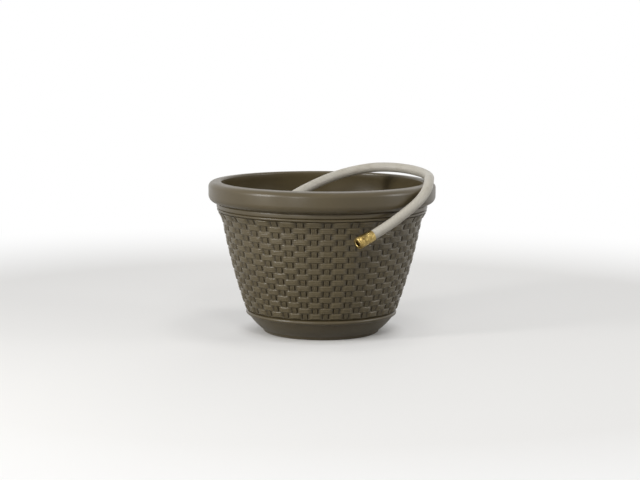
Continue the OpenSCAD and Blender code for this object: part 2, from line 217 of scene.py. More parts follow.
lead_length = LEAD_R * math.radians(LEAD_TURN)
lead_path = lead(np.arange(STEP_MM, lead_length, STEP_MM) / lead_length)
stub = INLET_END + np.linspace(0, 1, 4)[:, None] * [0, HOSE_D, 0]
wind_path = wind(np.linspace(0, all_turns, int(all_turns * POINTS_A_TURN)))
coil_path = np.concatenate([stub, lead_path, wind_path])
print("turns", round(all_turns, 2), "ending at", wind_path[-1].round(1))

# %% [markdown]
# The free stretch needs a curve that bends evenly, because a hose doesn't kink. A cubic
# spline has the same bend on both sides of every point it passes. It comes from one small
# set of equations, solved at once, with the headings at both ends given.

# %% The free part of the route
RUN_POINTS = [
    [-89, 48, 110], [-75, 79, 110], [-47, 106, 110], [-6, 121, 110], [38, 117, 110],
    [75, 96, 110], [99, 63, 110], [110, 22, 110], [110, -20, 110], [98, -60, 110],
    [70, -94, 110], [28, -115, 110],
    [-21, -120, 110], [-71, -101, 110], [-107, -63, 110], [-126, -15, 110], [-127, 35, 110],
    [-112, 80, 110], [-82, 118, 110], [-39, 144, 111], [12, 156, 112], [63, 149, 113],
    [109, 124, 115], [146, 86, 119], [168, 38, 127], [174, -14, 138], [161, -66, 152],
    [129, -116, 168], [74, -156, 188], [12, -174, 207], [-44, -162, 226], [-82, -128, 245],
    [-97, -82, 265], [-92, -34, 286], [-73, 8, 306], [-38, 42, 324], [14, 86, 344],
    [52, 107, 355], [90, 118, 363], [128, 118, 368], [166, 107, 369], [202, 84, 367],
    [229, 50, 363], [241, 8, 360], [243, -38, 359], [240, -80, 358], [237, -116, 352],
    [229, -148, 339], [212, -177, 321], [186, -200, 301], [154, -221, 279]]
OUTLET_END = np.array([94.0, -256.0, 246.0])
OUTLET_DIR = np.array([-0.78, -0.5, -0.38])
OUTLET_DIR /= np.linalg.norm(OUTLET_DIR)
INLET_DIR = np.array([0.0, -1.0, 0.0])


def spline(knots, first, last, step):
    """A cubic spline through the knots by length along them: tangents m solve
    m[i-1]/h[i-1] + 2 m[i] (1/h[i-1] + 1/h[i]) + m[i+1]/h[i] = 3 (d[i-1]/h[i-1] + d[i]/h[i]),
    where h is a span's length and d its slope, and both end tangents are given."""
    h = np.linalg.norm(np.diff(knots, axis=0), axis=1)
    slope = np.diff(knots, axis=0) / h[:, None]
    n = len(knots)
    i = np.arange(1, n - 1)
    system, right = np.eye(n), np.zeros((n, 3))
    system[i, i - 1], system[i, i + 1] = 1 / h[:-1], 1 / h[1:]
    system[i, i] = 2 * (1 / h[:-1] + 1 / h[1:])
    right[i] = 3 * (slope[:-1] / h[:-1, None] + slope[1:] / h[1:, None])
    right[0], right[-1] = first, last
    m = np.linalg.solve(system, right)
    along = np.concatenate([[0], np.cumsum(h)])
    s = np.linspace(0, along[-1], int(along[-1] / step))
    k = np.clip(np.searchsorted(along, s, side="right") - 1, 0, n - 2)
    t, w = ((s - along[k]) / h[k])[:, None], h[k][:, None]
    return ((1 + 2 * t) * (1 - t) ** 2 * knots[k] + t * (1 - t) ** 2 * w * m[k]
            + t * t * (3 - 2 * t) * knots[k + 1] + t * t * (t - 1) * w * m[k + 1])


run_start = wind_path[-1] + [0, HOSE_D, 0]
run_knots = np.array([run_start, *RUN_POINTS, OUTLET_END - HOSE_D * OUTLET_DIR, OUTLET_END], float)
hose_path = np.concatenate([coil_path, spline(run_knots, [0, 1, 0], OUTLET_DIR, STEP_MM)])


# %% [markdown]
# The tube is a circle carried along that path. The hose never stands upright, so a level
# side vector and one square to it give every ring its frame without any twist. The open
# end has its real bore: after the last ring the stack turns back inside by 120 mm. A UV map
# holds the distance round and along the tube in metres, for the pattern of its skin.


# %% The hose
def tube_rings(path, radius, sides, heading_start, heading_end):
    """Circles square to the path: centre + radius (cos a * side + sin a * over)."""
    heading = np.gradient(path, axis=0)
    heading[0], heading[-1] = heading_start, heading_end
    heading /= np.linalg.norm(heading, axis=1, keepdims=True)
    side = np.cross([0, 0, 1], heading)
    side /= np.linalg.norm(side, axis=1, keepdims=True)
    over = np.cross(heading, side)
    a = np.linspace(0, 2 * np.pi, sides, endpoint=False)[None, :, None]
    return path[:, None] + radius * (np.cos(a) * side[:, None] + np.sin(a) * over[:, None])


def along_uv(piece, path, sides, girth):
    """U is the way round and V the way along the tube, both in metres. Where a face crosses
    the seam, its side 0 counts as one past the last side, so that U doesn't run back."""
    mesh = piece.data
    v = np.concatenate([[0], np.cumsum(np.linalg.norm(np.diff(path, axis=0), axis=1))]) * MM
    index = np.zeros(len(mesh.loops), int)
    mesh.loops.foreach_get("vertex_index", index)
    ring, side = np.minimum(index // sides, len(path) - 1), index % sides
    start = np.zeros(len(mesh.polygons), int)
    total = np.zeros(len(mesh.polygons), int)
    mesh.polygons.foreach_get("loop_start", start)
    mesh.polygons.foreach_get("loop_total", total)
    face = np.repeat(np.arange(len(start)), total)
    least, most = np.minimum.reduceat(side, start), np.maximum.reduceat(side, start)
    wraps = (least == 0) & (most == sides - 1)
    u = (side + np.where(wraps[face] & (side == 0), sides, 0)) / sides * girth * MM
    layer = mesh.uv_layers.new(name="along")
    layer.data.foreach_set("uv", np.stack([u, v[ring]], -1).astype(np.float32).ravel())


HOSE_SIDES, HOSE_BORE_R, BORE_RINGS = 24, 7.9, 20
outer_rings, bore_rings = (tube_rings(hose_path, radius, HOSE_SIDES, -INLET_DIR, OUTLET_DIR)
                           for radius in (HOSE_R, HOSE_BORE_R))
hose_rings = np.concatenate([outer_rings, bore_rings[-BORE_RINGS:][::-1]])
whole_path = np.concatenate([hose_path, hose_path[-BORE_RINGS:][::-1]])
hose = ring_piece("garden_hose", hose_rings, crease=SOFT_CREASE)
along_uv(hose, whole_path, HOSE_SIDES, 2 * math.pi * HOSE_R)

# %% [markdown]
# ## The pot
#
# The pot is one moulding, so its shell is one profile turned round the axis: up the
# outside, over the rolled rim, down the inside and across the floor. Its section could be
# drawn by hand, but arcs and formulas keep every edge as round as a moulded edge is. The
# wall follows a shallow arc between foot and collar, and flares a little under the bead.

# %% The pot's profile
# In millimetres: R is a radius, Z a height over the ground, and H, W, GAP and STEP are the
# feature's own size.
POT_H, RIM_R, LIP_R, FOOT_R, WALL = 347.0, 260.0, 231.0, 134.0, 3.5
FLOOR_GAP, FOOT_RING_W, FOOT_EDGE_R, RECESS_DRAFT, HUB_R = 4.0, 10.0, 5.0, 1.0, 60.0
RIM_H, RIM_TOP_R, RIM_ROLL_R, RIM_SLOT, LIP_H, LIP_EDGE_R = 48.0, 12.0, 17.0, 3.0, 11.0, 5.0
COLLAR_R, COLLAR_H, COLLAR_EDGE_R, GROOVE_DEPTH = 241.5, 10.0, 2.0, 4.0
TOP_BEAD_R, BASE_BEAD_R, BASE_BOW, BASE_STEP = 3.2, 5.0, 2.5, 2.0
COLLAR_GAP, BEAD_GAP, WEAVE_GAP, BASE_BEAD_GAP = 2.0, 1.0, 1.5, 3.0
SHOULDER_DROP, UNDER_FILLET, FLOOR_FILLET, LIP_BLEND_R = 1.0, 4.0, 6.0, 60.0
WEAVE_Z, WEAVE_FOOT_R, WEAVE_TOP_R, WALL_CURVE_R = 54.0, 172.5, 227.5, 1200.0
STRAP_RELIEF = 2.6
RIM_UNDER_Z = POT_H - RIM_H
COLLAR_TOP_Z = RIM_UNDER_Z - COLLAR_GAP
COLLAR_BOTTOM_Z = COLLAR_TOP_Z - COLLAR_H
TOP_BEAD_Z = COLLAR_BOTTOM_Z - TOP_BEAD_R - BEAD_GAP
WEAVE_TOP_Z = TOP_BEAD_Z - TOP_BEAD_R - WEAVE_GAP
BASE_BEAD_Z = WEAVE_Z - BASE_BEAD_R - BASE_BEAD_GAP
NECK_R = COLLAR_R - COLLAR_EDGE_R / 2
GROOVE_R = COLLAR_R - GROOVE_DEPTH
# The wall's taper is a chord between these heights, and its bow stands out from the chord.
CHORD_Z = (47.0, 250.0)
FLARE_H = 26.0
FLARE_OUT = GROOVE_R - STRAP_RELIEF - WEAVE_TOP_R


def shell_radius(z):
    """Radius of the wall behind the weave: a straight taper, plus the bow of a shallow arc,
    plus a flare that grows with the square of the height over its start."""
    low, high = CHORD_Z
    half, off = (high - low) / 2, z - (low + high) / 2
    bow = (half ** 2 - off ** 2) / (2 * WALL_CURVE_R)
    flare = FLARE_OUT * np.maximum(0, (z - WEAVE_TOP_Z + FLARE_H) / FLARE_H) ** 2
    taper = WEAVE_FOOT_R + (WEAVE_TOP_R - WEAVE_FOOT_R) * (z - low) / (high - low)
    return taper + bow + flare - STRAP_RELIEF


def base_line(inset, steps=14):
    """The base's side: a straight line from foot to bead, bowed out by 4u(1 - u) times the bow."""
    u = np.linspace(0, 1, steps + 1)[1:, None]
    foot = np.array([FOOT_R - FOOT_EDGE_R * 0.3, FOOT_EDGE_R])
    top = np.array([shell_radius(BASE_BEAD_Z) - BASE_STEP, BASE_BEAD_Z - BASE_BEAD_R])
    out = np.array([top[1] - foot[1], foot[0] - top[0]]) / np.linalg.norm(top - foot)
    return foot + (top - foot) * u + out * (BASE_BOW * 4 * u * (1 - u) - inset)


def rounded(corners, radii, steps=5):
    """A line through the corners. A small parabola, (1 - t)^2 a + 2t(1 - t) corner + t^2 b,
    rounds each corner by its own radius. It starts and ends where an arc would touch."""
    corners = np.array(corners, float)
    line = [corners[:1]]
    for before, corner, after, radius in zip(corners, corners[1:], corners[2:], radii):
        a, b = before - corner, after - corner
        a, b = a / np.linalg.norm(a), b / np.linalg.norm(b)
        reach = radius / math.tan(math.acos(a @ b) / 2)
        t = np.linspace(0, 1, steps + 1)[:, None]
        line.append((1 - t) ** 2 * (corner + a * reach) + 2 * t * (1 - t) * corner
                    + t * t * (corner + b * reach))
    return np.concatenate([*line, corners[-1:]])


foot_in = FOOT_R - FOOT_RING_W
underside = rounded([[HUB_R, FLOOR_GAP], [foot_in - RECESS_DRAFT, FLOOR_GAP], [foot_in, 0],
                     [FOOT_R - 8, 0]], [1, 0.4])
flare_z = WEAVE_TOP_Z - FLARE_H
wall_z = np.concatenate([np.linspace(WEAVE_Z, flare_z, 16),
                         np.linspace(flare_z, WEAVE_TOP_Z, 14)[1:]])
bead_gap_z = TOP_BEAD_Z + TOP_BEAD_R + BEAD_GAP / 2
# The weave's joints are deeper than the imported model's, so the wall behind them steps back.
BEHIND_WEAVE = 2.5
outside = np.concatenate([
    arc([FOOT_R - FOOT_EDGE_R, FOOT_EDGE_R], FOOT_EDGE_R, -90, -25, 6),
    base_line(0),
    arc([shell_radius(BASE_BEAD_Z) - 1, BASE_BEAD_Z], BASE_BEAD_R, -80, 80, 14),
    [[shell_radius(WEAVE_Z), WEAVE_Z - 1]],
    np.stack([shell_radius(wall_z) - BEHIND_WEAVE, wall_z], -1),
    [[shell_radius(WEAVE_TOP_Z), WEAVE_TOP_Z + 0.6]],
    arc([NECK_R - TOP_BEAD_R, TOP_BEAD_Z], TOP_BEAD_R, -70, 75, 10),
    [[GROOVE_R, bead_gap_z]],
    arc([COLLAR_R - COLLAR_EDGE_R, COLLAR_BOTTOM_Z + COLLAR_EDGE_R], COLLAR_EDGE_R, -80, 0, 5),
    arc([COLLAR_R - COLLAR_EDGE_R, COLLAR_TOP_Z - COLLAR_EDGE_R], COLLAR_EDGE_R, 0, 80, 5)])
roll_centre = [RIM_R - RIM_ROLL_R, RIM_UNDER_Z + RIM_ROLL_R]
rim_centre = [RIM_R - RIM_TOP_R, POT_H - SHOULDER_DROP - RIM_TOP_R]
shoulder = np.linspace([RIM_R - RIM_TOP_R, POT_H - SHOULDER_DROP],
                       [LIP_R + LIP_EDGE_R, POT_H], 6)[1:-1]
slot_r = NECK_R + RIM_SLOT
# The slot's edge begins outside the roll's lowest point, so both arcs of the roll stop there.
ROLL_INNER_END, ROLL_OUTER_START = -78, -80
rim = np.concatenate([
    [[NECK_R, COLLAR_TOP_Z + 1]],
    arc([NECK_R + UNDER_FILLET, POT_H - SHOULDER_DROP - WALL - UNDER_FILLET], UNDER_FILLET,
        180, 90, 4),
    arc(rim_centre, RIM_TOP_R - WALL, 90, 0, 6),
    arc(roll_centre, RIM_ROLL_R - WALL, 0, ROLL_INNER_END, 8),
    rounded([[slot_r + 2, RIM_UNDER_Z + WALL], [slot_r, RIM_UNDER_Z + WALL],
             [slot_r, RIM_UNDER_Z], [slot_r + 2, RIM_UNDER_Z]], [0.8, 0.8], 3),
    arc(roll_centre, RIM_ROLL_R, ROLL_OUTER_START, 0, 20),
    arc(rim_centre, RIM_TOP_R, 0, 90, 16),
    shoulder,
    arc([LIP_R + LIP_EDGE_R, POT_H - LIP_EDGE_R], LIP_EDGE_R, 90, 180, 10)])
# The wall leans, so measured level it is 1.04 times as thick as square to its face.
LEVEL_WALL = WALL * 1.04
inside = np.concatenate([
    rounded([[LIP_R, POT_H - LIP_EDGE_R - 1], [LIP_R, POT_H - LIP_H],
             [NECK_R - WALL, COLLAR_BOTTOM_Z]], [LIP_BLEND_R]),
    np.stack([shell_radius(wall_z) - LEVEL_WALL, wall_z], -1)[::-1],
    base_line(WALL)[::-1],
    rounded([base_line(WALL)[0], [FOOT_R - FOOT_EDGE_R - LEVEL_WALL, FLOOR_Z],
             [HUB_R, FLOOR_Z]], [FLOOR_FILLET])[1:]])
pot_profile = np.concatenate([underside, outside, rim, inside])
print("profile points", len(pot_profile), "from", pot_profile.min(0).round(1),
      "to", pot_profile.max(0).round(1))

# %% [markdown]
# The drain holes and the hose feed hole are cut with Boolean modifiers, which are applied
# at once. The feed hole has a boss, a short thick ring that stands square to the slanted
# wall. It is joined on first, and then one bore goes through both.

# %% The pot's shell
SHELL_SIDES = 360
FEED_D, FEED_Z, FEED_BOSS_D, FEED_BOSS_L, FEED_PROUD = 45.0, 92.0, 62.0, 10.0, 4.0
DRAIN_HOLES, DRAIN_D, DRAIN_CIRCLE_R = 6, 10.0, 85.0


def carve(piece, tools, operation):
    """Applies one Boolean with all the tools to the piece, and removes the tools."""
    group = bpy.data.collections.new("tools")
    bpy.context.scene.collection.children.link(group)
    for tool in tools:
        group.objects.link(tool)
    modifier = piece.modifiers.new("carve", "BOOLEAN")
    modifier.operand_type, modifier.collection = "COLLECTION", group
    modifier.operation, modifier.solver = operation, "EXACT"
    bpy.context.view_layer.update()
    carved = piece.evaluated_get(bpy.context.evaluated_depsgraph_get())
    solid = bpy.data.meshes.new_from_object(carved)
    piece.modifiers.clear()
    piece.data = solid
    for tool in tools:
        bpy.data.objects.remove(tool)
    bpy.data.collections.remove(group)


# The wall's slope at the feed hole, taken from 20 mm under it to 20 mm over it.
feed_slope = math.atan2(shell_radius(FEED_Z + 20) - shell_radius(FEED_Z - 20), 40)
FEED_CENTRE = np.array([0, shell_radius(FEED_Z) - WALL / 2, FEED_Z])
FEED_DIR = np.array([0, math.cos(feed_slope), -math.sin(feed_slope)])


def laid(stack, at, way):
    """A stack drawn along +Z, laid with its start at a point and its Z along a heading."""
    way = np.array(way) / np.linalg.norm(way)
    level = math.hypot(way[0], way[1])
    x = np.array([way[2] * way[0] / level, way[2] * way[1] / level, -level])
    return np.array(at) + stack @ np.stack([x, np.cross(way, x), way])


pot = ring_piece("resin_pot", turned(pot_profile, SHELL_SIDES))
# The boss has a smaller hole at first, which the bore then widens through boss and wall.
boss_r, face_r, hole_r = FEED_BOSS_D / 2, 24, 20
front = FEED_PROUD + WALL / 2
back = front - FEED_BOSS_L
boss_profile = np.concatenate([
    rounded([[face_r, back], [boss_r, back], [boss_r, front], [face_r, front]], [1, 1.5], 4),
    [[hole_r, front], [hole_r, back]]])
boss = ring_piece("boss", laid(turned(boss_profile), FEED_CENTRE, FEED_DIR), closed=True)
carve(pot, [boss], "UNION")
# Every cutter reaches past both faces of the wall that it cuts.
bore = turned([[FEED_D / 2, -20], [FEED_D / 2, 20]])
drain = turned([[DRAIN_D / 2, -1], [DRAIN_D / 2, FLOOR_Z + 2]], sides=32)
cuts = [ring_piece("bore", laid(bore, FEED_CENTRE, FEED_DIR))]
for turn in np.arange(DRAIN_HOLES) * 2 * np.pi / DRAIN_HOLES:
    place = [DRAIN_CIRCLE_R * math.cos(turn), DRAIN_CIRCLE_R * math.sin(turn), 0]
    cuts.append(ring_piece("drain", drain + place))
carve(pot, cuts, "DIFFERENCE")
pot.data.set_sharp_from_angle(angle=CREASE)
print("pot", len(pot.data.polygons), "faces")

# %% [markdown]
# ## The basket weave
#
# The wall imitates wicker: in each row, straps of three strands pass over a stake, slope
# down and pass under the next stake, and the next row is shifted by half a repeat. The
# relief is a height over the wall, a function of how far a point is along the repeat and
# how far up its row. A fine grid of such heights gives real strands, where a bump texture
# would look flat at the silhouette. Three stacks of rows keep each mesh at a handy size.

# %% The weave's relief
# Of a repeat, a strap takes SHARE and climbs over RAMP, from RAMP_START to all of its height.
# Edges and columns are shares of a repeat too, and JOINT_LINE and STRAND_EDGE of a row.
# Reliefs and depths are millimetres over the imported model's wall, and WEAVE_TURN is in degrees.
ROWS, REPEATS, BACK_RINGS = 17, 24, 5
SHARE, RAMP, RAMP_START = 0.755, 0.21, 0.12
STRANDS, STRAND_DEPTH = 3, 0.7
RIBS, RIB_DEPTH, STAKE_RELIEF, STAKE_DOME = 3, 0.8, 1.1, 0.2
JOINT_RELIEF, ROW_JOINT, ROOT_DEPTH = -2.1, 0.5, 3.1
STRAP_EDGE, STAKE_EDGE, STRAND_EDGE, JOINT_LINE = 0.012, 0.018, 0.05, 0.012
WEAVE_TURN = 5.1
ROW_H = (WEAVE_TOP_Z - WEAVE_Z) / ROWS
# The columns stand closer together where a strap bends.
STRAP_COLUMNS = [0, STRAP_EDGE, 0.035, 0.075, 0.115, 0.155, 0.192, 0.222, 0.265, 0.32, 0.3775,
                 0.435, 0.495, 0.533, 0.563, 0.6, 0.64, 0.68, 0.72, 0.743]
stake_columns = np.linspace(SHARE + STAKE_EDGE, 1 - STAKE_EDGE, 4 * RIBS + 1)
COLUMNS = np.concatenate([STRAP_COLUMNS, [SHARE], stake_columns])
strand_lines = np.linspace(STRAND_EDGE, 1 - STRAND_EDGE, 4 * STRANDS + 1)
ROW_LINES = np.concatenate([[JOINT_LINE], strand_lines, [1 - JOINT_LINE]])


def across(v, power):
    """1 in the middle of a row and 0 at its joints: 1 - |2w - 1|^power, w from joint to joint."""
    w = np.clip((v - JOINT_LINE) / (1 - 2 * JOINT_LINE), 0, 1)
    return 1 - np.abs(2 * w - 1) ** power


def strap_height(u, v):
    """A flat slope up to a plateau and one down, with one round strand for each third of
    the row: the root of |sin(strands pi v)|. The strands fade out over the lowest quarter
    of the slope."""
    end = np.minimum(u, SHARE - u)
    climb = RAMP_START + (1 - RAMP_START) * np.clip(end / RAMP, 0, 1)
    ramp = np.clip(end / STRAP_EDGE, 0, 1) * climb
    inner = np.clip((v - STRAND_EDGE) / (1 - 2 * STRAND_EDGE), 0, 1)
    strand = STRAND_DEPTH * np.sqrt(np.abs(np.sin(STRANDS * np.pi * inner)))
    return (STRAP_RELIEF - JOINT_RELIEF - STRAND_DEPTH) * ramp + strand * np.clip(4 * ramp, 0, 1)


def stake_height(u, v):
    """Round upright ribs side by side, domed a little up the row."""
    t = np.clip((u - SHARE - STAKE_EDGE) / (1 - SHARE - 2 * STAKE_EDGE), 0, 1)
    edge = np.clip(np.minimum(u - SHARE, 1 - u) / STAKE_EDGE, 0, 1)
    rib = RIB_DEPTH * np.sqrt(np.abs(np.sin(RIBS * np.pi * t)))
    dome = 1 - STAKE_DOME + STAKE_DOME * across(v, 2)
    return edge * (STAKE_RELIEF - JOINT_RELIEF - RIB_DEPTH + rib) * dome


def weave_height(u, v):
    """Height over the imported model's wall at u along a repeat and v up a row. At the joint
    between two rows it is one level all round, because a strap lies beside a stake there."""
    own = JOINT_RELIEF + np.where(u < SHARE, strap_height(u, v), stake_height(u, v))
    return ROW_JOINT + (own - ROW_JOINT) * across(v, 8)


def weave_rows(first, last):
    """The rings of rows first to last - 1, front and back, as one closed stack. The columns
    of an odd row stand half a repeat on, so its list of columns is rolled back to match."""
    row, v = np.meshgrid(np.arange(first, last), ROW_LINES, indexing="ij")
    row = np.concatenate([[first], row.ravel(), [last - 1]])
    v = np.concatenate([[0], v.ravel(), [1]])
    repeat, u = np.meshgrid(np.arange(REPEATS), COLUMNS, indexing="ij")
    place, count = (repeat + u).ravel(), REPEATS * len(COLUMNS)
    odd = row[:, None] % 2 == 1
    roll = np.where(odd, np.argmin(np.abs(COLUMNS - 0.5)) - len(COLUMNS), 0)
    column = (np.arange(count)[None] + roll) % count
    height = weave_height(u.ravel()[column], v[:, None])
    z = WEAVE_Z + ROW_H * (row + v)
    backs = np.linspace(z[-1], z[0], BACK_RINGS)
    radius = np.concatenate([shell_radius(z)[:, None] + height,
                             np.repeat(shell_radius(backs)[:, None] - ROOT_DEPTH, count, 1)])
    turn = np.concatenate([place[column] + np.where(odd, 0.5, 0),
                           np.repeat(place[None], BACK_RINGS, 0)])
    angle = np.radians(WEAVE_TURN) + turn * 2 * np.pi / REPEATS
    level = np.concatenate([z, backs])[:, None] + 0 * radius
    stack = np.stack([radius * np.cos(angle), radius * np.sin(angle), level], -1)
    return stack, np.concatenate([height, np.zeros((BACK_RINGS, count))])


print("weave", len(COLUMNS), "columns a repeat,", len(ROW_LINES), "lines a row")

# %% [markdown]
# Each mesh also keeps the relief as an attribute, from 0 in the joints to 1 on the straps,
# for the painted shade in the joints to follow. The weave stops round the boss of the feed
# hole, 1 mm inside its edge, so that no gap shows between them.

# %% The weave's meshes
WEAVE_STACKS = [("weave_lower", 0, 6), ("weave_middle", 6, 12), ("weave_upper", 12, ROWS)]
weave = []
for name, first, last in WEAVE_STACKS:
    stack, height = weave_rows(first, last)
    piece = ring_piece(name, stack, closed=True, crease=SOFT_CREASE)
    relief = piece.data.attributes.new("relief", "FLOAT", "POINT")
    share = (height - JOINT_RELIEF) / (STRAP_RELIEF - JOINT_RELIEF)
    relief.data.foreach_set("value", share.ravel().astype(np.float32))
    weave.append(piece)
gap_r = FEED_BOSS_D / 2 - 1
gap = laid(turned([[gap_r, -10], [gap_r, 20]]), FEED_CENTRE, FEED_DIR)
carve(weave[0], [ring_piece("gap", gap)], "DIFFERENCE")
weave[0].data.set_sharp_from_angle(angle=SOFT_CREASE)
print("lower weave", len(weave[0].data.polygons), "faces")

# %% [markdown]
# ## The brass couplings
#
# Both ends of the hose have a ferrule, a thin sleeve that is crimped over the hose in four
# grooves. The outlet has a male hose thread of 11.5 turns to the inch, and the inlet has a
# nut that turns freely on its tailpiece and presses a rubber washer to the tap. The crimps
# and threads are a radius that depends on height and angle. Real grooves catch the light
# all the way round, and a bump map would leave the silhouette of the thread flat.

# %% The coupling profiles
BRASS_SIDES, FERRULE_RINGS, THREAD_RINGS, NUT_THREAD_RINGS = 192, 79, 61, 49
FERRULE_R, FERRULE_L, CRIMPS, CRIMP_DIP = 12.8, 20.0, 4, 0.7
THREAD_R, THREAD_DEPTH, THREAD_PITCH = 13.3, 0.9, 2.2
WATERWAY_R, COLLAR_L, THREAD_L = 7.0, 8.0, 14.0
NUT_L, NUT_CORE_R, NUT_BORE_R, NUT_RELIEF_R, NUT_PLAY, GRIPS = 22.0, 15.5, 13.45, 14.0, 0.3, 12
TAIL_COLLAR_L, TAIL_NECK_L, TAIL_NECK_R, FLANGE_R, FLANGE_T = 4.0, 5.0, 10.4, 13.2, 2.5
WASHER_R, WASHER_BORE_R, WASHER_T = 13.8, 7.5, 3.0
NUT_BACK = TAIL_COLLAR_L + NUT_PLAY
FLANGE_Z = TAIL_COLLAR_L + TAIL_NECK_L + NUT_PLAY
WASHER_Z = FLANGE_Z + FLANGE_T + NUT_PLAY
around = np.linspace(0, 1, BRASS_SIDES, endpoint=False)


def crest(z):
    """A thread's height at height z and each angle: one soft wave for each pitch, moved on
    with the angle, so that the crest climbs by one pitch a turn."""
    phase = (np.asarray(z)[:, None] / THREAD_PITCH - around[None]) % 1
    return smooth(2.2 * np.minimum(phase, 1 - phase))


def ferrule_stack():
    """A sleeve with four round grooves: radius less the dip times a soft step by distance,
    full within 0.4 mm of a groove's middle and gone 1.7 mm away."""
    z = np.linspace(-FERRULE_L + 0.8, -0.4, FERRULE_RINGS)
    spacing = FERRULE_L / (CRIMPS + 1)
    far = np.abs((z + spacing / 2) % spacing - spacing / 2)
    grooved = (z > -FERRULE_L + 2) & (z < -2)
    r = FERRULE_R - CRIMP_DIP * np.where(grooved, smooth((1.7 - far) / 1.3), 0)
    inner = [[HOSE_R + 0.1, 0], [HOSE_R + 0.1, -FERRULE_L], [HOSE_R + 0.4, -FERRULE_L],
             [FERRULE_R - 0.8, -FERRULE_L], [FERRULE_R - 0.25, -FERRULE_L + 0.25]]
    return turned(np.concatenate([inner, np.stack([r, z], -1), [[FERRULE_R - 0.4, 0]]]))


# The outlet: a plain collar, the thread on its root cylinder, and the mouth of the waterway.
mouth, root_r, thread_start = COLLAR_L + THREAD_L, THREAD_R - THREAD_DEPTH, COLLAR_L + 1.5
collar = np.concatenate([
    [[WATERWAY_R, 0], [FERRULE_R - 0.5, 0]],
    rounded([[FERRULE_R - 0.5, 0], [THREAD_R, 0], [THREAD_R, COLLAR_L], [root_r, COLLAR_L]],
            [0.5, 0.8], 4)[1:]])
thread_z = np.linspace(thread_start, mouth - 1, THREAD_RINGS)
outlet_profile = np.concatenate([
    collar,
    np.stack([np.full(THREAD_RINGS, root_r), thread_z], -1),
    rounded([[root_r, mouth - 0.6], [THREAD_R - 1.3, mouth], [WATERWAY_R + 1, mouth],
             [WATERWAY_R, mouth - 1], [WATERWAY_R, 0.5]], [0.3, 0.3, 0.3], 3)])
run_in = smooth((thread_z - thread_start) / 2) * smooth((mouth - thread_z) / 1.4)
outlet_relief = np.zeros((len(outlet_profile), BRASS_SIDES))
outlet_relief[len(collar):len(collar) + THREAD_RINGS] = (
    THREAD_DEPTH * run_in[:, None] * crest(thread_z))
# The tailpiece: a collar, the neck that the nut turns on, and the flange that holds it.
flange_end = FLANGE_Z + FLANGE_T
tailpiece_profile = np.concatenate([
    [[WATERWAY_R, 0], [FERRULE_R - 0.5, 0]],
    rounded([[FERRULE_R - 0.5, 0], [FERRULE_R, 0], [FERRULE_R, TAIL_COLLAR_L],
             [TAIL_NECK_R, TAIL_COLLAR_L], [TAIL_NECK_R, FLANGE_Z], [FLANGE_R, FLANGE_Z],
             [FLANGE_R, flange_end], [WATERWAY_R, flange_end], [WATERWAY_R, 0.5]],
            [0.3, 0.7, 0.4, 0.4, 0.3, 0.3, 0.3], 3)[1:]])
washer_end = WASHER_Z + WASHER_T
washer_profile = rounded([[9, WASHER_Z], [WASHER_R, WASHER_Z], [WASHER_R, washer_end],
                          [WASHER_BORE_R, washer_end], [WASHER_BORE_R, WASHER_Z],
                          [9, WASHER_Z]], [0.4, 0.4, 0.4, 0.4], 4)[:-1]
print("outlet rings", len(outlet_profile))

# %% [markdown]
# The nut has twelve round grips. Seen along its axis, a grip is part of a small circle
# that stands off the axis by d, so its edge lies at d cos a + sqrt(g^2 - (d sin a)^2) from
# the axis, where g is the grip's radius and a the angle from its middle. The nut's outline
# is the larger of this and the core's radius.


# %% The coupling meshes
def nut_stack():
    """The nut's outside with grips, its inside with thread, and its neck hole, closed."""
    grip_r, grip_at = 2.5, 14.5
    a = ((around * GRIPS + 0.5) % 1 - 0.5) * 2 * np.pi / GRIPS
    root = np.sqrt(np.maximum(0, grip_r ** 2 - (grip_at * np.sin(a)) ** 2))
    proud = np.maximum(0, np.where(root > 0, grip_at * np.cos(a) + root, 0) - NUT_CORE_R)
    # The rings stand closer together where the grips begin and end.
    z = NUT_BACK + np.array([0.7, 1.3, 1.5, 1.7, 2.2, 3, 8, 14, 17,
                             17.8, 18.3, 18.5, 18.7, 20, 21.3])
    grip_start, grip_end, end = NUT_BACK + 1.3, NUT_BACK + 18.7, NUT_BACK + NUT_L
    ends = smooth((z - grip_start) / 1.2) * smooth((grip_end - z) / 1.2)
    thread_end = NUT_BACK + NUT_L / 2
    inner_z = np.linspace(end - 1, thread_end + 0.4, NUT_THREAD_RINGS)
    depth = smooth((end - inner_z) / 2.5) * smooth((inner_z - thread_end) / 2)
    hole_r, seat_z = TAIL_NECK_R + NUT_PLAY, NUT_BACK + TAIL_NECK_L - NUT_PLAY
    back = [[hole_r, NUT_BACK], [NUT_CORE_R - 0.7, NUT_BACK],
            [NUT_CORE_R - 0.2, NUT_BACK + 0.25]]
    front = [[NUT_CORE_R - 0.2, end - 0.25], [NUT_CORE_R - 0.7, end], [NUT_RELIEF_R + 0.3, end]]
    seat = [[NUT_RELIEF_R, seat_z + 0.3], [NUT_RELIEF_R - 0.3, seat_z],
            [hole_r + 0.3, seat_z], [hole_r, seat_z - 0.3]]
    profile = np.concatenate([
        back, np.stack([np.full(len(z), NUT_CORE_R), z], -1), front,
        np.stack([np.full(len(inner_z), NUT_RELIEF_R), inner_z], -1), seat])
    relief = np.zeros((len(profile), BRASS_SIDES))
    relief[len(back):len(back) + len(z)] = proud * ends[:, None]
    thread = len(back) + len(z) + len(front)
    relief[thread:thread + len(inner_z)] = (
        -(NUT_RELIEF_R - NUT_BORE_R) * depth[:, None] * crest(inner_z))
    return turned(profile, BRASS_SIDES, relief)


